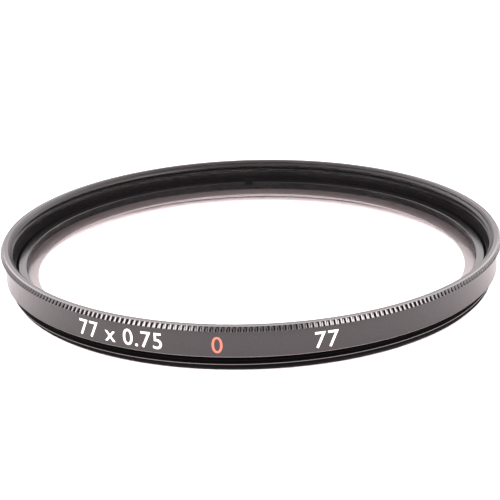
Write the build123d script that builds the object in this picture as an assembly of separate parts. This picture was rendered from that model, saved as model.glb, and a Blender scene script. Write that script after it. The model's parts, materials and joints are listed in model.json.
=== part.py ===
from build123d import *
import math
import os

# Screw-in filter for the front of a camera lens: a turned frame ring, a flat glass disc
# and the threaded ring that holds the glass down. Millimetres.
# The optical axis is Z. The rear face, on which the filter lies, is at z = 0, and +Z is the front.

# Threads, drawn as plain walls at their mating radii
filter_size = 77.0
thread_clearance = 0.05
male_thread_length = 2.5
male_lead_chamfer = 0.7
female_thread_depth = 3.0
female_lead_chamfer = 0.3

# Plain band outside the front thread
band_wall = 0.8
band_edge_chamfer = 0.15

# Knurled bead round the front edge
bead_overhang = 0.7
bead_height = 0.75
bead_top_inset = 0.5
knurl_pitch = 0.805
knurl_width = 0.56
knurl_depth = 0.4

# Thin lip of the frame, the recess behind it and the glass that lies on it
rear_wall = 1.6
rear_recess = 1.0
lip_thickness = 0.5
lip_width = 2.8
glass_step = 0.55
glass_clearance = 0.1
glass_thickness = 1.7
glass_edge_chamfer = 0.2

# Retaining ring and its two spanner slots
ring_step = 0.85
ring_clearance = 0.05
ring_height = 1.15
ring_width = 1.65
ring_edge_chamfer = 0.4
ring_recess = 0.15
ring_overrun = 0.2
slot_width = 1.4
slot_depth = 0.5

# Radii, from the threads outwards and then inwards
female_radius = filter_size / 2
male_radius = female_radius - thread_clearance
band_radius = female_radius + band_wall
rim_radius = band_radius + bead_overhang
ring_wall_radius = female_radius - ring_step
ring_radius = ring_wall_radius - ring_clearance
ring_bore_radius = ring_radius - ring_width
seat_radius = ring_wall_radius - glass_step
glass_radius = seat_radius - glass_clearance
lip_radius = glass_radius - lip_width
rear_bore_radius = male_radius - rear_wall

# Heights, from the rear face up to the front rim
shoulder_z = male_thread_length
glass_rear_z = rear_recess + lip_thickness
glass_front_z = glass_rear_z + glass_thickness
ring_wall_bottom_z = glass_front_z - ring_overrun
ring_front_z = glass_front_z + ring_height
female_floor_z = ring_front_z + ring_recess
front_z = female_floor_z + female_thread_depth
bead_bottom_z = front_z - bead_height


def turned(outline):
    """Solid turned about the optical axis from a closed outline of (radius, height) points."""
    section = make_face(Plane.XZ * Polyline(*outline, close=True))
    return revolve(section, Axis.Z)


def on_circle(radius, angle):
    """Point at an angle in degrees on a circle about the optical axis."""
    return Vector(radius, 0).rotate(Axis.Z, angle)


def knurled_bead():
    """Bead that tapers towards the front, with a flat on each ridge between the notches of its knurl."""
    count = round(2 * math.pi * rim_radius / knurl_pitch)
    pitch = 360 / count
    notch = math.degrees(knurl_width / rim_radius)
    floor_radius = rim_radius - knurl_depth
    outer_radius = rim_radius + knurl_depth
    outline = []
    for index in range(count):
        start = index * pitch + (pitch - notch) / 2
        end = start + notch
        outline += [
            on_circle(outer_radius, start),
            on_circle(floor_radius, start),
            on_circle(floor_radius, end),
            on_circle(outer_radius, end),
        ]
    notched = extrude(make_face(Polyline(*outline, close=True)), bead_height)
    slope = math.degrees(math.atan2(bead_top_inset, bead_height))
    flats = RegularPolygon(rim_radius, count, major_radius=False, rotation=pitch / 2)
    return Pos(0, 0, bead_bottom_z) * (extrude(flats, bead_height, taper=slope) & notched)


def frame_ring():
    """Frame: rear thread, shoulder, plain band, knurled bead, front thread and seat of the glass."""
    outside = turned([
        (0, 0),
        (male_radius - male_lead_chamfer, 0),
        (male_radius, male_lead_chamfer),
        (male_radius, shoulder_z),
        (band_radius - band_edge_chamfer, shoulder_z),
        (band_radius, shoulder_z + band_edge_chamfer),
        (band_radius, front_z),
        (0, front_z),
    ])
    bore = turned([
        (0, 0),
        (rear_bore_radius, 0),
        (rear_bore_radius, rear_recess),
        (lip_radius, rear_recess),
        (lip_radius, glass_rear_z),
        (seat_radius, glass_rear_z),
        (seat_radius, ring_wall_bottom_z),
        (ring_wall_radius, ring_wall_bottom_z),
        (ring_wall_radius, female_floor_z),
        (female_radius, female_floor_z),
        (female_radius, front_z - female_lead_chamfer),
        (female_radius + female_lead_chamfer, front_z),
        (0, front_z),
    ])
    return outside + knurled_bead() - bore


def glass_disc():
    """Flat glass with ground edges, lying on the lip of the frame."""
    return turned([
        (0, glass_rear_z),
        (glass_radius - glass_edge_chamfer, glass_rear_z),
        (glass_radius, glass_rear_z + glass_edge_chamfer),
        (glass_radius, glass_front_z - glass_edge_chamfer),
        (glass_radius - glass_edge_chamfer, glass_front_z),
        (0, glass_front_z),
    ])


def retaining_ring():
    """Ring screwed down on the glass, with two slots across its face for a spanner."""
    ring = turned([
        (ring_bore_radius, glass_front_z),
        (ring_radius, glass_front_z),
        (ring_radius, ring_front_z - ring_edge_chamfer),
        (ring_radius - ring_edge_chamfer, ring_front_z),
        (ring_bore_radius, ring_front_z),
    ])
    slots = Box(slot_width, 2 * ring_radius, 2 * slot_depth)
    return ring - Pos(0, 0, ring_front_z) * slots


os.makedirs("parts", exist_ok=True)
for node, solid in (
    ("frame_ring", frame_ring()),
    ("glass_disc", glass_disc()),
    ("retaining_ring", retaining_ring()),
):
    export_step(solid, f"parts/{node}.step")
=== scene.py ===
"""Looks of a screw-in lens filter: threads, knurled bead, coated glass, retaining ring, print."""

import json
import logging
import math
from dataclasses import dataclass
from enum import Enum
from typing import Any

import bmesh
import bpy
from mathutils import Matrix, Vector


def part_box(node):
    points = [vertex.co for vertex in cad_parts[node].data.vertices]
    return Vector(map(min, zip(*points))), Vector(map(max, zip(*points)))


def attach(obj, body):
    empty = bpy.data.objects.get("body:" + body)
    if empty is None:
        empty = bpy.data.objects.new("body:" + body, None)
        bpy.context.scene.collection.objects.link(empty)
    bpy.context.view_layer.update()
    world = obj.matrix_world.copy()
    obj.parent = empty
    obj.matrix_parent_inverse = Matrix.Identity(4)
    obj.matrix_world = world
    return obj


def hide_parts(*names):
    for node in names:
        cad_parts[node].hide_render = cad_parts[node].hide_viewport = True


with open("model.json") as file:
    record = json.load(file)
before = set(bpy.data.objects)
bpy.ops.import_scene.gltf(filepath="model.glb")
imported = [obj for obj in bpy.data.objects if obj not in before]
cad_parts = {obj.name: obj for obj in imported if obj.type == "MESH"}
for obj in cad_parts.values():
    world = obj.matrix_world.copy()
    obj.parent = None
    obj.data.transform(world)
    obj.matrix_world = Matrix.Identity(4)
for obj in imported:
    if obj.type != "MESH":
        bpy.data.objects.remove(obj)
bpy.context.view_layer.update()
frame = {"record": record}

log = logging.getLogger("lens_filter")

# Meshes are drawn in millimetres about the optical axis and scaled to metres when they are done.
MM = 0.001
AXIS = (0.0, 0.0, 1.0)
SIDEWAYS = (1.0, 0.0, 0.0)
CENTRE = (0.0, 0.0, 0.0)
FULL_TURN = 2 * math.pi
FRONT_ANGLE = -math.pi / 2

# Vertices this close become one, and a cut this close to a vertex goes through it.
MERGE_MM = 0.004
CUT_MM = MERGE_MM / 10

# Equal arcs of a full turn: a section is swept over one of them, and that one is repeated.
ARCS = 24

# The part has no joints, so every piece rides on its only body.
BODY = "root"

# Sockets of a colour Mix node, whose names its other data types share.
MIX_FACTOR, MIX_A, MIX_B, MIX_RESULT = 0, 6, 7, 2

# A point of a turned section: its radius and its height above the rear face, in millimetres.
Point = tuple[float, float]


def to_linear(colour: str) -> tuple[float, float, float, float]:
    """Turns an sRGB colour into the linear one that shaders and lamps take.

    Args:
        colour: Hex value such as "#1A1A1A".

    Returns:
        Red, green, blue and an alpha of 1.
    """
    channels = [int(colour[start:start + 2], 16) / 255 for start in (1, 3, 5)]
    red, green, blue = (
        value / 12.92 if value <= 0.04045 else ((value + 0.055) / 1.055) ** 2.4
        for value in channels
    )
    return red, green, blue, 1.0


def per_metre(size_mm: float) -> float:
    """Gives the scale of a pattern whose real size is in millimetres."""
    return 1 / (size_mm * MM)


def add_node(
    tree: bpy.types.NodeTree,
    kind: str,
    inputs: dict[str | int, Any] | None = None,
    **settings: Any,
) -> bpy.types.Node:
    """Adds a shader node with its settings and links.

    Args:
        tree: Node tree that takes the node.
        kind: Blender's type name of the node.
        inputs: Value, or output of another node, for each input that is named or numbered.
        **settings: Properties of the node.

    Returns:
        The new node.
    """
    node = tree.nodes.new(kind)
    for name, value in settings.items():
        setattr(node, name, value)
    for name, value in (inputs or {}).items():
        if isinstance(value, bpy.types.NodeSocket):
            tree.links.new(value, node.inputs[name])
        else:
            node.inputs[name].default_value = value
    return node


def draw(
    bm: bmesh.types.BMesh, section: list[Point]
) -> list[bmesh.types.BMVert | bmesh.types.BMEdge]:
    """Draws an open section in a mesh, on the side where X is positive.

    Args:
        bm: Mesh that takes the section.
        section: Points of the section, in order.

    Returns:
        Its vertices and edges.
    """
    verts = [bm.verts.new((radius, 0.0, height)) for radius, height in section]
    return [*verts, *(bm.edges.new(pair) for pair in zip(verts, verts[1:]))]


def wind(
    section: list[Point], steps: int, turns: int = 1, rise: float = 0.0
) -> bmesh.types.BMesh:
    """Sweeps an open section round the optical axis: a short arc, then that arc again and again.

    Args:
        section: Points of the section, in order.
        steps: Facets in one turn, a multiple of ARCS.
        turns: How many times round.
        rise: Height gained in one turn.

    Returns:
        The swept surface, with turns that meet merged.
    """
    bm = bmesh.new()
    bmesh.ops.spin(
        bm,
        geom=draw(bm, section),
        axis=AXIS,
        cent=CENTRE,
        dvec=(0.0, 0.0, rise / steps),
        angle=FULL_TURN / ARCS,
        steps=steps // ARCS,
    )
    repeat(bm, FULL_TURN / ARCS, ARCS * turns, rise / ARCS)
    return bm


def repeat(bm: bmesh.types.BMesh, arc: float, copies: int, rise: float = 0.0) -> None:
    """Lays copies of what a mesh holds round the optical axis, edge to edge.

    Args:
        bm: Mesh that holds one arc.
        arc: Angle of the arc.
        copies: How many arcs there are in the end.
        rise: Height gained from one arc to the next.
    """
    bmesh.ops.spin(
        bm,
        geom=[*bm.verts, *bm.edges, *bm.faces],
        axis=AXIS,
        cent=CENTRE,
        dvec=(0.0, 0.0, rise),
        angle=arc * (copies - 1),
        steps=copies - 1,
        use_duplicate=True,
    )
    bmesh.ops.remove_doubles(bm, verts=bm.verts, dist=MERGE_MM)


def slice_at(
    bm: bmesh.types.BMesh,
    point: tuple[float, float, float],
    normal: tuple[float, float, float],
) -> None:
    """Splits the faces and edges that a plane crosses.

    Args:
        bm: Mesh that is split, with nothing taken away.
        point: Any point of the plane.
        normal: Direction across the plane.
    """
    bmesh.ops.bisect_plane(
        bm,
        geom=[*bm.verts, *bm.edges, *bm.faces],
        dist=CUT_MM,
        plane_co=point,
        plane_no=normal,
    )


def join(bm: bmesh.types.BMesh, part: bmesh.types.BMesh, zone: "Zone") -> None:
    """Moves a part into a mesh.

    Args:
        bm: Mesh that takes the part.
        part: The part, which is freed.
        zone: Zone of the part's faces.
    """
    for face in part.faces:
        face.material_index = zone.value
    carrier = bpy.data.meshes.new("carrier")
    part.to_mesh(carrier)
    part.free()
    bm.from_mesh(carrier)
    bpy.data.meshes.remove(carrier)


def set_radius(vert: bmesh.types.BMVert, radius: float) -> None:
    """Moves a vertex straight out from the axis, or in, to a radius."""
    vert.co.xy *= radius / vert.co.xy.length


def make_piece(
    bm: bmesh.types.BMesh,
    name: str,
    finishes: list["Finish"],
    replaced: str | None = None,
    sharp_angle: float = 34.0,
) -> bpy.types.Object:
    """Closes a mesh drawn in millimetres and hands it over as a piece of the part.

    Args:
        bm: The mesh, which is freed.
        name: Name of the piece.
        finishes: Finish for each material index of the faces.
        replaced: CAD node that the piece stands for, if any.
        sharp_angle: Turn between faces, in degrees, above which their edge stays sharp.

    Returns:
        The new object, at the origin.
    """
    bmesh.ops.remove_doubles(bm, verts=bm.verts, dist=MERGE_MM)
    bmesh.ops.recalc_face_normals(bm, faces=bm.faces)
    bmesh.ops.scale(bm, vec=Vector((MM, MM, MM)), verts=bm.verts)
    for face in bm.faces:
        face.smooth = True
    for edge in bm.edges:
        edge.smooth = edge.calc_face_angle(math.pi) < math.radians(sharp_angle)
    mesh = bpy.data.meshes.new(name)
    bm.to_mesh(mesh)
    bm.free()
    piece = bpy.data.objects.new(name, mesh)
    bpy.context.scene.collection.objects.link(piece)
    for finish in finishes:
        mesh.materials.append(finish.material())
    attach(piece, BODY)
    if replaced:
        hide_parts(replaced)
    log.info("%s: %d faces, %s", name, len(mesh.polygons), ", ".join(f.name for f in finishes))
    return piece


class Finish:
    """A surface finish, made into a node material the first time that it is asked for."""

    name: str

    def material(self) -> bpy.types.Material:
        """Finds or makes the material of this finish.

        Returns:
            The node material.
        """
        made = bpy.data.materials.get(self.name)
        if made is None:
            made = bpy.data.materials.new(self.name)
            made.use_nodes = True
            made.node_tree.nodes.clear()
            surface = self.wire(made.node_tree)
            add_node(made.node_tree, "ShaderNodeOutputMaterial", {"Surface": surface})
        return made

    def wire(self, tree: bpy.types.NodeTree) -> bpy.types.NodeSocket:
        """Adds the nodes of the finish.

        Args:
            tree: Empty node tree of the material.

        Returns:
            The shader that goes to the surface.
        """
        raise NotImplementedError


@dataclass(frozen=True)
class AnodisedAluminium(Finish):
    """Turned aluminium, lightly blasted or left as cut, then anodised.

    The oxide is slightly cloudy and dyed black; some finishes carry painted light and shade: a
    paler grey for highlights and for light under the glass, and near-black for shade. It reflects
    as a satin dielectric, so it pales where it is seen at a glancing angle, and the tool leaves
    fine lines round the axis. The lines of a real cut and the grain of real blasting are about 0.05
    mm apart, too fine to show, so both are drawn coarser.
    """

    name: str
    colour: str
    cloud_colour: str
    smoothest: float
    roughest: float
    oxide_ior: float = 1.6
    specular: float = 0.5
    cloud_mm: float = 6.0
    grain_mm: float = 0.18
    grain_height_mm: float = 0.002
    line_mm: float = 0.22
    line_height_mm: float = 0.002

    def wire(self, tree: bpy.types.NodeTree) -> bpy.types.NodeSocket:
        """Wires cloudy dye, blasted grain and turning lines that follow radius and height.

        Args:
            tree: Empty node tree of the material.

        Returns:
            The shader that goes to the surface.
        """
        place = add_node(tree, "ShaderNodeTexCoord").outputs["Object"]
        split = add_node(tree, "ShaderNodeSeparateXYZ", {0: place})
        across = add_node(
            tree, "ShaderNodeCombineXYZ", {"X": split.outputs["X"], "Y": split.outputs["Y"]}
        )
        radius = add_node(
            tree, "ShaderNodeVectorMath", {0: across.outputs["Vector"]}, operation="LENGTH"
        )
        lathe = add_node(
            tree, "ShaderNodeCombineXYZ", {"X": radius.outputs["Value"], "Y": split.outputs["Z"]}
        )
        lines = add_node(
            tree,
            "ShaderNodeTexNoise",
            {"Vector": lathe.outputs["Vector"], "Scale": per_metre(self.line_mm), "Detail": 1.0},
            noise_dimensions="2D",
        )
        grain = add_node(
            tree,
            "ShaderNodeTexNoise",
            {"Vector": place, "Scale": per_metre(self.grain_mm), "Detail": 2.0},
        )
        cloud = add_node(
            tree,
            "ShaderNodeTexNoise",
            {"Vector": place, "Scale": per_metre(self.cloud_mm), "Detail": 3.0},
        )
        dye = add_node(
            tree,
            "ShaderNodeMix",
            {
                MIX_FACTOR: cloud.outputs["Fac"],
                MIX_A: to_linear(self.colour),
                MIX_B: to_linear(self.cloud_colour),
            },
            data_type="RGBA",
        )
        roughness = add_node(
            tree,
            "ShaderNodeMapRange",
            {"Value": grain.outputs["Fac"], "To Min": self.smoothest, "To Max": self.roughest},
        )
        cut = add_node(
            tree,
            "ShaderNodeBump",
            {
                "Height": lines.outputs["Fac"],
                "Distance": self.line_height_mm * MM,
                "Strength": 1.0,
            },
        )
        blasted = add_node(
            tree,
            "ShaderNodeBump",
            {
                "Height": grain.outputs["Fac"],
                "Distance": self.grain_height_mm * MM,
                "Strength": 1.0,
                "Normal": cut.outputs["Normal"],
            },
        )
        shader = add_node(
            tree,
            "ShaderNodeBsdfPrincipled",
            {
                "Base Color": dye.outputs[MIX_RESULT],
                "Roughness": roughness.outputs["Result"],
                "IOR": self.oxide_ior,
                "Specular IOR Level": self.specular,
                "Normal": blasted.outputs["Normal"],
            },
        )
        return shader.outputs["BSDF"]


@dataclass(frozen=True)
class CoatedGlass(Finish):
    """Polished optical glass with an anti-reflection coating.

    It is clear from above and bends what lies under it. Towards a glancing angle it mirrors its
    surroundings, a little pink from the coating, and a wiped film makes the mirror uneven. Lamps
    and scattered light pass straight through, so that what lies under the glass is lit.
    """

    name: str
    tint: str
    mirror_tint: str
    ior: float = 1.5
    coat_ior: float = 1.08
    smear_mm: float = 14.0
    smoothest: float = 0.0
    roughest: float = 0.03

    def wire(self, tree: bpy.types.NodeTree) -> bpy.types.NodeSocket:
        """Wires refracting glass for what is seen and a clear pane for what lights.

        Args:
            tree: Empty node tree of the material.

        Returns:
            The shader that goes to the surface.
        """
        place = add_node(tree, "ShaderNodeTexCoord").outputs["Object"]
        smear = add_node(
            tree,
            "ShaderNodeTexNoise",
            {"Vector": place, "Scale": per_metre(self.smear_mm), "Detail": 2.0},
        )
        roughness = add_node(
            tree,
            "ShaderNodeMapRange",
            {"Value": smear.outputs["Fac"], "To Min": self.smoothest, "To Max": self.roughest},
        )
        bent = add_node(
            tree,
            "ShaderNodeBsdfRefraction",
            {
                "Color": to_linear(self.tint),
                "Roughness": roughness.outputs["Result"],
                "IOR": self.ior,
            },
        )
        mirror = add_node(
            tree,
            "ShaderNodeBsdfGlossy",
            {"Color": to_linear(self.mirror_tint), "Roughness": roughness.outputs["Result"]},
        )
        glancing = add_node(tree, "ShaderNodeFresnel", {"IOR": self.coat_ior})
        glass = add_node(
            tree,
            "ShaderNodeMixShader",
            {0: glancing.outputs["Fac"], 1: bent.outputs["BSDF"], 2: mirror.outputs["BSDF"]},
        )
        clear = add_node(tree, "ShaderNodeBsdfTransparent", {"Color": to_linear(self.tint)})
        ray = add_node(tree, "ShaderNodeLightPath")
        lighting = add_node(
            tree,
            "ShaderNodeMath",
            {0: ray.outputs["Is Shadow Ray"], 1: ray.outputs["Is Diffuse Ray"]},
            operation="MAXIMUM",
        )
        mixed = add_node(
            tree,
            "ShaderNodeMixShader",
            {0: lighting.outputs["Value"], 1: glass.outputs["Shader"], 2: clear.outputs["BSDF"]},
        )
        return mixed.outputs["Shader"]


@dataclass(frozen=True)
class GrainedCoat(Finish):
    """An opaque coat with a fine grain, such as ground glass, pad-printed ink or paper.

    Its colour wanders a little between two shades, and its tooth scatters the light softly. Real
    grit, pigment and fibre are finer than a tenth of a millimetre, too fine to show, so the grain
    is drawn coarser.
    """

    name: str
    colour: str
    shade_colour: str
    grain_mm: float
    grain_height_mm: float
    smoothest: float = 0.45
    roughest: float = 0.65

    def wire(self, tree: bpy.types.NodeTree) -> bpy.types.NodeSocket:
        """Wires two shades, uneven gloss and a toothed surface.

        Args:
            tree: Empty node tree of the material.

        Returns:
            The shader that goes to the surface.
        """
        place = add_node(tree, "ShaderNodeTexCoord").outputs["Object"]
        grain = add_node(
            tree,
            "ShaderNodeTexNoise",
            {"Vector": place, "Scale": per_metre(self.grain_mm), "Detail": 2.0},
        )
        shade = add_node(
            tree,
            "ShaderNodeMix",
            {
                MIX_FACTOR: grain.outputs["Fac"],
                MIX_A: to_linear(self.colour),
                MIX_B: to_linear(self.shade_colour),
            },
            data_type="RGBA",
        )
        roughness = add_node(
            tree,
            "ShaderNodeMapRange",
            {"Value": grain.outputs["Fac"], "To Min": self.smoothest, "To Max": self.roughest},
        )
        tooth = add_node(
            tree,
            "ShaderNodeBump",
            {
                "Height": grain.outputs["Fac"],
                "Distance": self.grain_height_mm * MM,
                "Strength": 1.0,
            },
        )
        shader = add_node(
            tree,
            "ShaderNodeBsdfPrincipled",
            {
                "Base Color": shade.outputs[MIX_RESULT],
                "Roughness": roughness.outputs["Result"],
                "Normal": tooth.outputs["Normal"],
            },
        )
        return shader.outputs["BSDF"]


# Fine-blasted before anodising: an even, soft sheen on the band that pales towards its ends.
SATIN_BLACK = AnodisedAluminium(
    "satin_black_anodised_aluminium", "#1A1718", "#1F1B1D",
    smoothest=0.24, roughest=0.34, oxide_ior=1.43,
)
# Pressed smooth by the knurling tool: each ridge catches the light in one bright stroke.
BURNISHED_BLACK = AnodisedAluminium(
    "burnished_black_anodised_aluminium", "#1A1718", "#1F1B1D",
    smoothest=0.16, roughest=0.22, oxide_ior=1.8, line_height_mm=0.001,
)
# Painted highlight: the crests of the rear thread and the foot of the band are painted a paler
# grey, for the fine light line that these edges catch.
PAINTED_HIGHLIGHT_EDGE = AnodisedAluminium(
    "edge_painted_highlight_anodised_aluminium", "#565052", "#605A5C",
    smoothest=0.3, roughest=0.4, oxide_ior=1.5,
)
# Steep walls of the notches, smooth and without lines, painted near-black as painted shade: the
# dark strokes between the ridges.
NOTCH_SHADE_BLACK = AnodisedAluminium(
    "notch_painted_shade_anodised_aluminium", "#060505", "#080707",
    smoothest=0.1, roughest=0.16, oxide_ior=1.68, line_height_mm=0.0,
)
# Flanks of a cut thread: black, with a weak gleam along each turn.
THREAD_BLACK = AnodisedAluminium(
    "thread_cut_black_anodised_aluminium", "#080707", "#0A0909",
    smoothest=0.3, roughest=0.42, oxide_ior=1.5, specular=0.28, line_height_mm=0.001,
)
# Blasted and dyed deep against stray light: hardly any sheen round the glass.
MATT_BLACK = AnodisedAluminium(
    "matt_black_anodised_aluminium", "#0A090A", "#0D0C0D",
    smoothest=0.3, roughest=0.4, oxide_ior=1.5, specular=0.12, line_height_mm=0.001,
)
# Faced on the lathe: as dark, with a soft gleam that runs round the ring.
FACED_BLACK = AnodisedAluminium(
    "faced_black_anodised_aluminium", "#0A090A", "#0D0C0D",
    smoothest=0.18, roughest=0.26, oxide_ior=1.5, specular=0.4, line_height_mm=0.001,
)
# Rough and near-black with almost no gleam, even in the light from the floor: a matt rear, painted
# darker still as the shade under the shoulder's overhang.
REAR_SHADE_BLACK = AnodisedAluminium(
    "rear_painted_shade_anodised_aluminium", "#060505", "#080707",
    smoothest=0.45, roughest=0.55, oxide_ior=1.5, specular=0.04, line_height_mm=0.0,
)
# Painted reflection: the lip is painted grey, clearly lighter than the black round it, for the pale
# light seen on the step under the glass.
LIP_PAINTED_REFLECTION = AnodisedAluminium(
    "lip_painted_reflection_grey_aluminium", "#514B4C", "#575152",
    smoothest=0.3, roughest=0.4, oxide_ior=2.2,
)
# Painted light: the recess behind the lip is painted pale, so that it throws light back under the
# glass and lifts the shade there.
RECESS_PAINTED_LIGHT = AnodisedAluminium(
    "recess_painted_light_pale_aluminium", "#DCD8D9", "#E0DCDD",
    smoothest=0.3, roughest=0.4, oxide_ior=1.6,
)
# Polished and coated: clear, with a faint pink mirror at a glancing angle.
LENS_GLASS = CoatedGlass("anti_reflection_coated_glass", "#FBFAFA", "#FFF4F5")
# Ground and blackened: a dull dark line round the glass.
GROUND_EDGE = GrainedCoat(
    "blackened_ground_glass_edge", "#1C1B1C", "#181718", grain_mm=0.12, grain_height_mm=0.006
)
# Uncoated paper: matt and nearly white, without a gleam.
FLOOR_PAPER = GrainedCoat(
    "pale_studio_paper", "#F8F5F6", "#F3F0F1",
    grain_mm=2.0, grain_height_mm=0.01, smoothest=0.7, roughest=0.85,
)


class Ink(Enum):
    """The inks of the print on the band: dense and slightly dull, with soft highlights."""

    WHITE = GrainedCoat(
        "white_pad_printed_ink", "#F6F5F3", "#ECEAE8", grain_mm=0.25, grain_height_mm=0.003
    )
    RED = GrainedCoat(
        "red_pad_printed_ink", "#BE5F4C", "#B45543", grain_mm=0.25, grain_height_mm=0.003
    )


class Zone(Enum):
    """Which finish a face of the frame takes; the value is its material index."""

    OUTSIDE = 0  # band, shoulder, relief groove and rim
    EDGE = 1  # crests of the rear thread, lower edge of the band, painted paler grey as a highlight
    NOTCH = 2  # walls of the notches, painted near-black as shade
    THREAD = 3  # front thread
    SEAT = 4  # plain wall under it, and the steps for ring and glass
    LIP = 5  # lip under the glass, painted grey as a reflection
    REAR = 6  # rear thread and rear face, painted darkest as the shade under the shoulder
    RIDGE = 7  # ridges of the bead and floors of the notches
    RECESS = 8  # back of the lip and the wall behind it, painted pale as light


@dataclass(frozen=True)
class ScrewThread:
    """A right-hand thread cut on a sleeve between two plain circles, all in millimetres.

    A thread whose crest lies outside its root is a male one. Cones at 45 degrees from both circles
    cut its first and last turns down, as the chamfers of a turned part do.
    """

    pitch: float
    crest_radius: float
    root_radius: float
    crest_width: float
    front_crest_z: float
    low: Point
    high: Point
    flank_deg: float = 30.0

    def cut(self, steps: int) -> bmesh.types.BMesh:
        """Winds one tooth up the sleeve, so that each turn shares its edge with the next.

        Args:
            steps: Facets in one turn.

        Returns:
            The sleeve, open at both circles.
        """
        depth = abs(self.crest_radius - self.root_radius)
        flank = depth * math.tan(math.radians(self.flank_deg))
        half_root = (self.pitch - self.crest_width) / 2 - flank
        # A crest passes the front at front_crest_z. This is its height where the sweep starts.
        first_crest = self.front_crest_z - self.pitch * FRONT_ANGLE / FULL_TURN
        below = math.ceil((first_crest - self.low[1]) / self.pitch) + 1
        start = first_crest - (below + 0.5) * self.pitch
        crest_start = start + half_root + flank
        tooth = [
            (self.root_radius, start),
            (self.root_radius, start + half_root),
            (self.crest_radius, crest_start),
            (self.crest_radius, crest_start + self.crest_width),
            (self.root_radius, start + self.pitch - half_root),
            (self.root_radius, start + self.pitch),
        ]
        turns = math.ceil((self.high[1] - start) / self.pitch)
        bm = wind(tooth, steps, turns, self.pitch)
        for vert in bm.verts:
            self._trim(vert)
        bmesh.ops.remove_doubles(bm, verts=bm.verts, dist=MERGE_MM)
        return bm

    def _trim(self, vert: bmesh.types.BMVert) -> None:
        """Brings a vertex between the two circles and inside their cones.

        Args:
            vert: Vertex of the wound tooth.
        """
        vert.co.z = min(max(vert.co.z, self.low[1]), self.high[1])
        male = self.crest_radius > self.root_radius
        side = 1 if male else -1
        radius = vert.co.xy.length
        for end_radius, end_z in (self.low, self.high):
            cone = end_radius + side * abs(vert.co.z - end_z)
            radius = min(radius, cone) if male else max(radius, cone)
        set_radius(vert, radius)


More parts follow.
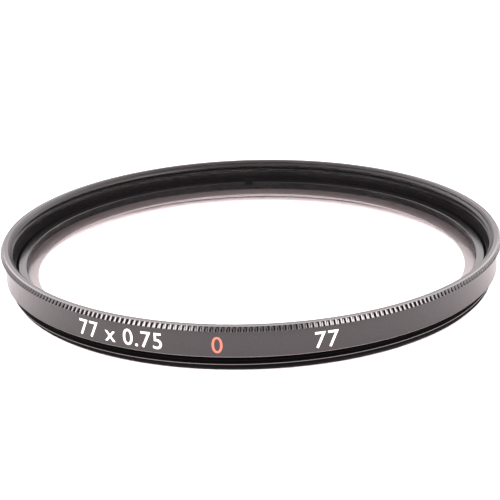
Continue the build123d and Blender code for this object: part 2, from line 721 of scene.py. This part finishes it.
@dataclass
class FrameRing:
    """Turned frame: rear thread, shoulder, band, knurled bead, front thread and seat of the glass.

    The sizes are in millimetres. Those of the bead are heights below the front, apart from its
    radii. The floor of a notch runs from its foot to its head, each given as the distance in from
    the rim and the distance below the front.
    """

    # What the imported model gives
    rim_radius: float
    front_z: float
    male_radius: float
    female_radius: float
    shoulder_z: float
    glass_radius: float
    seat_z: float
    ring_radius: float
    ring_rear_z: float

    # Band and bead
    band_radius: float = 39.3
    band_edge: float = 0.15
    rim_inner_radius: float = 38.78
    rim_outer_radius: float = 39.37
    rim_edge: float = 0.085
    slope_radius: float = 39.62
    nose_top: float = 0.66
    nose_bottom: float = 0.76
    bead_foot: float = 0.95

    # Notches of the knurl
    notch_count: int = 312
    notch_width: float = 0.58
    notch_floor: float = 0.2
    notch_foot: Point = (0.31, 0.843)
    notch_head: Point = (0.65, 0.33)

    # Threads, with the width of a crest as a share of the pitch
    pitch: float = 0.75
    male_depth: float = 0.45
    male_crest_share: float = 1 / 8
    male_crest_z: float = 1.115
    male_chamfer: float = 0.7
    male_run_in: float = 0.05
    relief_depth: float = 0.5
    relief_width: float = 0.3
    female_depth: float = 0.4
    female_crest_share: float = 1 / 4
    female_crest_z: float = 6.4
    female_end: float = 2.06

    # Steps for the ring and the glass, the lip and the recess behind it
    floor_depth: float = 3.0
    ring_clearance: float = 0.05
    ring_overrun: float = 0.2
    glass_clearance: float = 0.1
    lip_radius: float = 34.2
    lip_thickness: float = 0.35
    lip_gap: float = 0.03
    rear_bore_radius: float = 36.85
    rear_edge: float = 0.15

    # How far a face may lie from the radius of the crests and still be one
    crest_margin: float = 0.02
    sharp_angle: float = 20.0

    @property
    def steps(self) -> int:
        """Facets in a full turn: two for each notch of the knurl."""
        return 2 * self.notch_count

    @property
    def notch_arc(self) -> float:
        """Angle from one notch to the next."""
        return FULL_TURN / self.notch_count

    @property
    def half_notch(self) -> float:
        """Half of the angle that a notch takes up at the rim."""
        return self.notch_width / 2 / self.rim_radius

    @property
    def half_floor(self) -> float:
        """Half of the angle that the floor of a notch takes up at the rim."""
        return self.notch_floor / 2 / self.rim_radius

    @property
    def relief(self) -> Point:
        """Circle where the rear thread runs out, below the shoulder."""
        return self.male_radius - self.relief_depth, self.shoulder_z - self.relief_width

    @property
    def rear_lead(self) -> Point:
        """Circle on the chamfer at the rear, just inside the root of the thread."""
        depth = self.male_depth + self.male_run_in
        return self.male_radius - depth, self.male_chamfer - depth

    @property
    def front_lead(self) -> Point:
        """Circle where the chamfer at the front meets the root of the thread."""
        return self.female_radius, self.front_z - (self.rim_inner_radius - self.female_radius)

    @property
    def female_foot(self) -> Point:
        """Circle where the front thread runs out into the plain wall below it."""
        return self.female_radius, self.front_z - self.female_end

    def build(self) -> bpy.types.Object:
        """Makes the frame as one closed surface.

        Returns:
            The piece that stands for the CAD frame.
        """
        bm = self._knurled_front()
        for thread, zone in zip(self._threads(), (Zone.REAR, Zone.THREAD)):
            join(bm, thread.cut(self.steps), zone)
        for section, zone in self._inside():
            join(bm, wind(section, self.steps), zone)
        self._mark_edges(bm)
        # EDGE, NOTCH, LIP, RECESS and REAR carry painted light and shade: highlights on edges,
        # shade in the notches and under the shoulder, a pale reflection and light under the glass.
        finishes = {
            Zone.OUTSIDE: SATIN_BLACK,
            Zone.EDGE: PAINTED_HIGHLIGHT_EDGE,
            Zone.NOTCH: NOTCH_SHADE_BLACK,
            Zone.THREAD: THREAD_BLACK,
            Zone.SEAT: MATT_BLACK,
            Zone.LIP: LIP_PAINTED_REFLECTION,
            Zone.REAR: REAR_SHADE_BLACK,
            Zone.RIDGE: BURNISHED_BLACK,
            Zone.RECESS: RECESS_PAINTED_LIGHT,
        }
        return make_piece(
            bm,
            "frame_ring_turned",
            [finishes[zone] for zone in Zone],
            "frame_ring",
            self.sharp_angle,
        )

    def _mark_edges(self, bm: bmesh.types.BMesh) -> None:
        """Paints a highlight on the crests of the rear thread and the lower edge of the band, as a
        paler grey.

        Args:
            bm: Mesh of the whole frame.
        """
        edge_low, edge_high = self.shoulder_z + MERGE_MM, self.shoulder_z + self.band_edge
        for face in bm.faces:
            middle = face.calc_center_median()
            beyond = middle.xy.length - self.male_radius
            crest = beyond > -self.crest_margin and middle.z < self.shoulder_z
            bevel = beyond > self.crest_margin and edge_low < middle.z < edge_high
            # Crests and the band's lower edge take the paler grey of a painted highlight.
            if crest or bevel:
                face.material_index = Zone.EDGE.value

    def _threads(self) -> tuple[ScrewThread, ScrewThread]:
        """Lays out the two threads.

        Returns:
            The rear thread and the front thread.
        """
        rear = ScrewThread(
            pitch=self.pitch,
            crest_radius=self.male_radius,
            root_radius=self.male_radius - self.male_depth,
            crest_width=self.pitch * self.male_crest_share,
            front_crest_z=self.male_crest_z,
            low=self.rear_lead,
            high=self.relief,
        )
        front = ScrewThread(
            pitch=self.pitch,
            crest_radius=self.female_radius - self.female_depth,
            root_radius=self.female_radius,
            crest_width=self.pitch * self.female_crest_share,
            front_crest_z=self.female_crest_z,
            low=self.female_foot,
            high=self.front_lead,
        )
        return rear, front

    def _outside(self) -> list[Point]:
        """Lays out the outside before its notches are sunk.

        Returns:
            Its section, from the relief groove over band and bead to the front chamfer.
        """
        top = self.front_z
        return [
            self.relief,
            (self.relief[0], self.shoulder_z),
            (self.band_radius - self.band_edge, self.shoulder_z),
            (self.band_radius, self.shoulder_z + self.band_edge),
            (self.band_radius, top - self.bead_foot),
            (self.rim_radius, top - self.nose_bottom),
            (self.rim_radius, top - self.nose_top),
            (self.slope_radius, top - self.rim_edge),
            (self.rim_outer_radius, top),
            (self.rim_inner_radius, top),
            self.front_lead,
        ]

    def _knurled_front(self) -> bmesh.types.BMesh:
        """Turns one pitch of the outside, sinks its notch and repeats it round the axis.

        Returns:
            The outside, from the relief groove to the front chamfer.
        """
        ridge = self.notch_arc / 2 - self.half_notch
        wall = self.half_notch - self.half_floor
        floor = 2 * self.half_floor
        bm = bmesh.new()
        column = draw(bm, self._outside())
        for angle in (ridge, wall, floor, wall, ridge):
            spun = bmesh.ops.spin(bm, geom=column, axis=AXIS, cent=CENTRE, angle=angle, steps=1)
            column = spun["geom_last"]
        self._mark_bead(bm)
        self._sink_notch(bm)
        self._meet_facets(bm)
        bmesh.ops.remove_doubles(bm, verts=bm.verts, dist=MERGE_MM)
        in_arc = self.notch_count // ARCS
        repeat(bm, self.notch_arc, in_arc)
        repeat(bm, self.notch_arc * in_arc, ARCS)
        return bm

    def _mark_bead(self, bm: bmesh.types.BMesh) -> None:
        """Gives the walls of a notch their painted shade, and the ridges and floor of the bead
        their finish.

        Args:
            bm: Mesh of one pitch, whose notch isn't sunk yet.
        """
        for face in bm.faces:
            middle = face.calc_center_median()
            beside = abs(math.atan2(middle.y, middle.x) - self.notch_arc / 2)
            below = self.front_z - middle.z
            if below < self.nose_bottom and middle.xy.length > self.rim_outer_radius:
                walled = beside < self.half_notch and below > self.rim_edge
                floored = beside < self.half_floor and below > self.nose_top
                # Notch walls take a near-black painted shade; the rest of the nose takes the
                # burnished finish.
                zone = Zone.NOTCH if walled and not floored else Zone.RIDGE
                face.material_index = zone.value

    def _sink_notch(self, bm: bmesh.types.BMesh) -> None:
        """Draws the middle of the bead's nose in and down to the floor of the notch.

        Args:
            bm: Mesh of one pitch.
        """
        nose_z = self.front_z - self.nose_bottom
        for vert in bm.verts:
            beside = abs(math.atan2(vert.co.y, vert.co.x) - self.notch_arc / 2) * self.rim_radius
            at_rim = vert.co.xy.length > self.rim_radius - MERGE_MM
            if at_rim and beside < self.notch_floor / 2 + MERGE_MM:
                at_foot = vert.co.z < nose_z + MERGE_MM
                inset, below = self.notch_foot if at_foot else self.notch_head
                set_radius(vert, self.rim_radius - inset)
                vert.co.z = self.front_z - below

    def _meet_facets(self, bm: bmesh.types.BMesh) -> None:
        """Turns the two ends of the section to the facets of the threads that they meet.

        Args:
            bm: Mesh of one pitch.
        """
        facet = self.notch_arc / 2
        for vert in bm.verts:
            if vert.co.xy.length < self.female_radius + MERGE_MM:
                turned = math.atan2(vert.co.y, vert.co.x)
                back = Matrix.Rotation(round(turned / facet) * facet - turned, 3, "Z")
                bmesh.ops.rotate(bm, cent=CENTRE, matrix=back, verts=[vert])

    def _inside(self) -> list[tuple[list[Point], Zone]]:
        """Lays out the plain wall, the steps for ring and glass, the lip, its back and the rear.

        Returns:
            Sections with their zones, from the front thread to the chamfer of the rear one.
        """
        floor_z = self.front_z - self.floor_depth
        ring_wall_radius = self.ring_radius + self.ring_clearance
        ring_wall_z = self.ring_rear_z - self.ring_overrun
        seat_radius = self.glass_radius + self.glass_clearance
        lip_z = self.seat_z - self.lip_gap
        lip_rear_z = self.seat_z - self.lip_thickness
        seat = [
            self.female_foot,
            (self.female_radius, floor_z),
            (ring_wall_radius, floor_z),
            (ring_wall_radius, ring_wall_z),
            (seat_radius, ring_wall_z),
            (seat_radius, lip_z),
        ]
        lip = [seat[-1], (self.lip_radius, lip_z), (self.lip_radius, lip_rear_z)]
        recess = [
            lip[-1],
            (self.rear_bore_radius, lip_rear_z),
            (self.rear_bore_radius, self.rear_edge),
        ]
        rear = [
            recess[-1],
            (self.rear_bore_radius + self.rear_edge, 0.0),
            (self.male_radius - self.male_chamfer, 0.0),
            self.rear_lead,
        ]
        return [(seat, Zone.SEAT), (lip, Zone.LIP), (recess, Zone.RECESS), (rear, Zone.REAR)]


@dataclass
class GlassDisc:
    """Flat polished glass with ground edges, in millimetres."""

    radius: float
    rear_z: float
    front_z: float
    edge_chamfer: float = 0.2
    facets: int = 360

    def build(self) -> bpy.types.Object:
        """Draws the disc, raises it to its thickness and grinds its edges.

        Returns:
            The piece that stands for the CAD glass.
        """
        bm = bmesh.new()
        bmesh.ops.create_circle(
            bm,
            cap_ends=True,
            radius=self.radius,
            segments=self.facets,
            matrix=Matrix.Translation((0.0, 0.0, self.rear_z)),
        )
        raised = bmesh.ops.extrude_face_region(bm, geom=list(bm.faces), use_keep_orig=True)
        verts = [item for item in raised["geom"] if isinstance(item, bmesh.types.BMVert)]
        bmesh.ops.translate(bm, vec=(0.0, 0.0, self.front_z - self.rear_z), verts=verts)
        rims = [
            edge for edge in bm.edges
            if abs(edge.verts[0].co.z - edge.verts[1].co.z) < MERGE_MM
        ]
        bmesh.ops.bevel(
            bm,
            geom=rims,
            offset=self.edge_chamfer,
            affect="EDGES",
            segments=1,
            profile=0.5,
            material=-1,
        )
        # The two polished faces have a corner for each facet. The rest of the disc is ground.
        for face in bm.faces:
            face.material_index = 0 if len(face.verts) == self.facets else 1
        return make_piece(
            bm, "glass_disc_polished", [LENS_GLASS, GROUND_EDGE], "glass_disc"
        )


@dataclass
class RetainingRing:
    """Threaded ring that holds the glass down, with two slots for a spanner, in millimetres.

    A face is a faced one, rather than a matt one, if its normal points more than faced_above to
    the front.
    """

    radius: float
    rear_z: float
    front_z: float
    width: float = 1.65
    face_chamfer: float = 0.4
    bore_chamfer: float = 0.08
    slot_width: float = 1.4
    slot_depth: float = 0.5
    facets: int = 480
    faced_above: float = 0.5

    def build(self) -> bpy.types.Object:
        """Turns the ring, then cuts the slots along Y.

        Returns:
            The piece that stands for the CAD ring.
        """
        bore = self.radius - self.width
        section = [
            (bore, self.rear_z),
            (self.radius, self.rear_z),
            (self.radius, self.front_z - self.face_chamfer),
            (self.radius - self.face_chamfer, self.front_z),
            (bore + self.bore_chamfer, self.front_z),
            (bore, self.front_z - self.bore_chamfer),
            (bore, self.rear_z),
        ]
        bm = wind(section, self.facets)
        self._cut_slots(bm)
        bmesh.ops.recalc_face_normals(bm, faces=bm.faces)
        for face in bm.faces:
            face.material_index = int(face.normal.z > self.faced_above)
        return make_piece(
            bm, "retaining_ring_turned", [MATT_BLACK, FACED_BLACK], "retaining_ring"
        )

    def _cut_slots(self, bm: bmesh.types.BMesh) -> None:
        """Splits the ring at the walls and floor of the slots, opens them and closes their sides.

        Args:
            bm: Mesh of the turned ring.
        """
        half = self.slot_width / 2
        floor_z = self.front_z - self.slot_depth
        for wall_x in (half, -half):
            slice_at(bm, (wall_x, 0.0, 0.0), SIDEWAYS)
        slice_at(bm, (0.0, 0.0, floor_z), AXIS)
        opened = []
        for face in bm.faces:
            middle = face.calc_center_median()
            if abs(middle.x) < half and middle.z > floor_z:
                opened.append(face)
        bmesh.ops.delete(bm, geom=opened, context="FACES")
        floors = [
            edge for edge in bm.edges
            if edge.is_boundary and all(abs(v.co.z - floor_z) < MERGE_MM for v in edge.verts)
        ]
        for side in (-1, 1):
            loop = [edge for edge in floors if edge.verts[0].co.y * side > 0]
            bmesh.ops.bridge_loops(bm, edges=loop)
            for wall_x in (-half, half):
                wall = [
                    edge for edge in bm.edges
                    if edge.is_boundary
                    and edge.verts[0].co.y * side > 0
                    and all(abs(v.co.x - wall_x) < MERGE_MM for v in edge.verts)
                ]
                bmesh.ops.contextual_create(bm, geom=wall)


@dataclass
class BandPrint:
    """A line of print that follows the band, in millimetres, its middle at an angle from the front.

    The film of ink stands proud of the band by its thickness and reaches as far into it.
    """

    name: str
    text: str
    ink: Ink
    middle_deg: float
    band_radius: float
    middle_z: float = 4.45
    height: float = 2.5
    spacing: float = 1.08
    film: float = 0.012
    column: float = 0.4
    font_merge: float = 1e-4

    def build(self) -> bpy.types.Object:
        """Sets the line flat, slices it into narrow columns and bends it round the band.

        Returns:
            The printed piece.
        """
        bm = self._set_flat()
        columns = math.ceil(max(abs(vert.co.x) for vert in bm.verts) / self.column)
        for index in range(1 - columns, columns):
            slice_at(bm, (index * self.column, 0.0, 0.0), SIDEWAYS)
        start = FRONT_ANGLE + math.radians(self.middle_deg)
        for vert in bm.verts:
            angle = start + vert.co.x / self.band_radius
            radius = self.band_radius + vert.co.z
            height = self.middle_z + vert.co.y
            vert.co = (radius * math.cos(angle), radius * math.sin(angle), height)
        return make_piece(bm, self.name, [self.ink.value])

    def _set_flat(self) -> bmesh.types.BMesh:
        """Sets the line in a font of unit size and depth, then scales it.

        Returns:
            The line on the XY plane, with its middle at the origin.
        """
        line = bpy.data.curves.new(self.name, "FONT")
        line.body = self.text
        line.align_x = "CENTER"
        line.align_y = "CENTER"
        line.space_character = self.spacing
        line.extrude = 0.5
        setter = bpy.data.objects.new(self.name, line)
        flat = bpy.data.meshes.new_from_object(setter)
        bm = bmesh.new()
        bm.from_mesh(flat)
        bpy.data.objects.remove(setter)
        bpy.data.curves.remove(line)
        bpy.data.meshes.remove(flat)
        bmesh.ops.remove_doubles(bm, verts=bm.verts, dist=self.font_merge)
        low = min(vert.co.y for vert in bm.verts)
        high = max(vert.co.y for vert in bm.verts)
        bmesh.ops.translate(bm, vec=(0.0, -(high + low) / 2, 0.0), verts=bm.verts)
        size = self.height / (high - low)
        bmesh.ops.scale(bm, vec=Vector((size, size, 2 * self.film)), verts=bm.verts)
        return bm


@dataclass(frozen=True)
class Glow:
    """Soft patch of light on the tent, bounded by its heights and by how far behind it lies.

    The distance behind is the share of the direction that points away from the camera, -1 to 1:
    the light is out at the first of the two shares and full at the second.
    """

    strength: float
    behind: tuple[float, float]
    rise_deg: tuple[float, float]
    fall_deg: tuple[float, float]

    def add(
        self,
        tree: bpy.types.NodeTree,
        looking: bpy.types.Node,
        light: bpy.types.NodeSocket | float,
    ) -> bpy.types.NodeSocket:
        """Adds the patch to the light of the tent.

        Args:
            tree: Node tree of the world.
            looking: Node that splits the direction of sight.
            light: Light that is there without the patch.

        Returns:
            The light with the patch.
        """
        rise, fall = (
            [math.sin(math.radians(angle)) for angle in angles]
            for angles in (self.rise_deg, self.fall_deg)
        )
        patch = self.strength
        for axis, (first, last), start, end in (
            ("Z", rise, 0.0, 1.0),
            ("Z", fall, 1.0, 0.0),
            ("Y", self.behind, 0.0, 1.0),
        ):
            step = add_node(
                tree,
                "ShaderNodeMapRange",
                {
                    "Value": looking.outputs[axis],
                    "From Min": first,
                    "From Max": last,
                    "To Min": start,
                    "To Max": end,
                },
                interpolation_type="SMOOTHSTEP",
            )
            faded = add_node(
                tree, "ShaderNodeMath", {0: patch, 1: step.outputs["Result"]}, operation="MULTIPLY"
            )
            patch = faded.outputs["Value"]
        total = add_node(tree, "ShaderNodeMath", {0: light, 1: patch}, operation="ADD")
        return total.outputs["Value"]


@dataclass
class Studio:
    """Pale floor, white tent with patches of light, a softbox on each side, and the camera.

    The camera looks at the middle of the rim and is then turned a little by pan, tilt and roll.
    """

    rim_height: float
    camera_distance_mm: float = 320.97
    elevation_deg: float = 19.476
    pan_deg: float = 0.0308
    tilt_deg: float = -0.4891
    roll_deg: float = -1.73
    lens_mm: float = 144.0
    sensor_mm: float = 36.0
    nearest_mm: float = 10.0
    floor_mm: float = 6000.0
    floor_cells: int = 8
    tent_colour: str = "#FFF8FA"
    tent_strength: float = 1.4
    glows: tuple[Glow, ...] = (
        # Low and in front, for the sheen of the near band
        Glow(strength=1.8, behind=(0.2, -0.5), rise_deg=(0.0, 6.0), fall_deg=(20.0, 32.0)),
        # Higher and behind, for the gleam of the rim and the bead
        Glow(strength=2.5, behind=(-0.2, 0.5), rise_deg=(17.0, 22.0), fall_deg=(55.0, 75.0)),
    )
    softbox_colour: str = "#FFF7F6"
    softbox_radiance: float = 12.0
    softbox_azimuth_deg: float = 62.0
    softbox_elevation_deg: float = 38.0
    softbox_distance_mm: float = 1000.0
    softbox_width_mm: float = 1000.0
    softbox_height_mm: float = 330.0

    def build(self) -> None:
        """Sets up floor, light and camera."""
        self._floor()
        self._light()
        self._camera()

    def _floor(self) -> None:
        """Lays the paper that the filter stands on."""
        bm = bmesh.new()
        bmesh.ops.create_grid(
            bm,
            x_segments=self.floor_cells,
            y_segments=self.floor_cells,
            size=self.floor_mm / 2 * MM,
        )
        mesh = bpy.data.meshes.new("studio_floor")
        bm.to_mesh(mesh)
        bm.free()
        mesh.materials.append(FLOOR_PAPER.material())
        floor = bpy.data.objects.new("studio_floor", mesh)
        bpy.context.scene.collection.objects.link(floor)

    def _light(self) -> None:
        """Puts the tent with its patches of light round the filter and hangs the softboxes."""
        world = bpy.data.worlds.new("white_tent")
        world.use_nodes = True
        tree = world.node_tree
        tree.nodes.clear()
        direction = add_node(tree, "ShaderNodeTexCoord").outputs["Generated"]
        looking = add_node(tree, "ShaderNodeSeparateXYZ", {0: direction})
        light = self.tent_strength
        for glow in self.glows:
            light = glow.add(tree, looking, light)
        sky = add_node(
            tree,
            "ShaderNodeBackground",
            {"Color": to_linear(self.tent_colour), "Strength": light},
        )
        add_node(tree, "ShaderNodeOutputWorld", {"Surface": sky.outputs["Background"]})
        bpy.context.scene.world = world
        bpy.context.scene.view_settings.view_transform = "Standard"
        self._softbox("softbox_left", -self.softbox_azimuth_deg)
        self._softbox("softbox_right", self.softbox_azimuth_deg)

    def _softbox(self, name: str, azimuth_deg: float) -> None:
        """Hangs a softbox that faces the filter.

        Args:
            name: Name of the lamp.
            azimuth_deg: Angle from the front, to the right of the camera.
        """
        lamp = bpy.data.lights.new(name, "AREA")
        lamp.shape = "RECTANGLE"
        lamp.size = self.softbox_width_mm * MM
        lamp.size_y = self.softbox_height_mm * MM
        lamp.color = to_linear(self.softbox_colour)[:3]
        lamp.energy = self.softbox_radiance * math.pi * lamp.size * lamp.size_y
        softbox = bpy.data.objects.new(name, lamp)
        aside = Matrix.Rotation(math.radians(azimuth_deg), 4, "Z")
        tipped = Matrix.Rotation(math.radians(90 - self.softbox_elevation_deg), 4, "X")
        away = Matrix.Translation((0.0, 0.0, self.softbox_distance_mm * MM))
        softbox.matrix_world = aside @ tipped @ away
        bpy.context.scene.collection.objects.link(softbox)

    def _camera(self) -> None:
        """Places the camera in front, looking down on the filter."""
        data = bpy.data.cameras.new("camera")
        data.lens = self.lens_mm
        data.sensor_width = self.sensor_mm
        data.clip_start = self.nearest_mm * MM
        camera = bpy.data.objects.new("camera", data)
        elevation = math.radians(self.elevation_deg)
        back = Vector((0.0, -math.cos(elevation), math.sin(elevation)))
        place = (Vector((0.0, 0.0, self.rim_height)) + back * self.camera_distance_mm) * MM
        aim = (
            Matrix.Rotation(math.radians(90) - elevation, 4, "X")
            @ Matrix.Rotation(math.radians(self.pan_deg), 4, "Y")
            @ Matrix.Rotation(math.radians(self.tilt_deg), 4, "X")
            @ Matrix.Rotation(math.radians(self.roll_deg), 4, "Z")
        )
        camera.matrix_world = Matrix.Translation(place) @ aim
        bpy.context.scene.collection.objects.link(camera)
        bpy.context.scene.camera = camera


def mount(name: str) -> dict[str, Any]:
    """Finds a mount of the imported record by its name."""
    return next(item for item in frame["record"]["mounts"] if item["name"] == name)


def main() -> None:
    """Builds the pieces in order, then the studio round them."""
    frame_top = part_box("frame_ring")[1] / MM
    glass_low, glass_high = (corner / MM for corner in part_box("glass_disc"))
    ring_low, ring_high = (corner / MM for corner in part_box("retaining_ring"))
    ring_frame = FrameRing(
        rim_radius=frame_top.x,
        front_z=frame_top.z,
        male_radius=mount("rear_thread")["dims"]["r_mm"],
        female_radius=mount("front_thread")["dims"]["r_mm"],
        shoulder_z=mount("seating_shoulder")["pos_m"][2] / MM,
        glass_radius=glass_high.x,
        seat_z=glass_low.z,
        ring_radius=ring_high.x,
        ring_rear_z=ring_low.z,
    )
    ring_frame.build()
    GlassDisc(radius=glass_high.x, rear_z=glass_low.z, front_z=glass_high.z).build()
    RetainingRing(radius=ring_high.x, rear_z=ring_low.z, front_z=ring_high.z).build()
    for line in (
        BandPrint("print_thread_size", "77 x 0.75", Ink.WHITE, -30.0, ring_frame.band_radius),
        BandPrint("print_index", "0", Ink.RED, -7.7, ring_frame.band_radius),
        BandPrint("print_diameter", "77", Ink.WHITE, 15.4, ring_frame.band_radius),
    ):
        line.build()
    Studio(rim_height=frame_top.z).build()


if __name__ == "__main__":
    logging.basicConfig(level=logging.INFO, format="%(name)s: %(message)s")
    main()
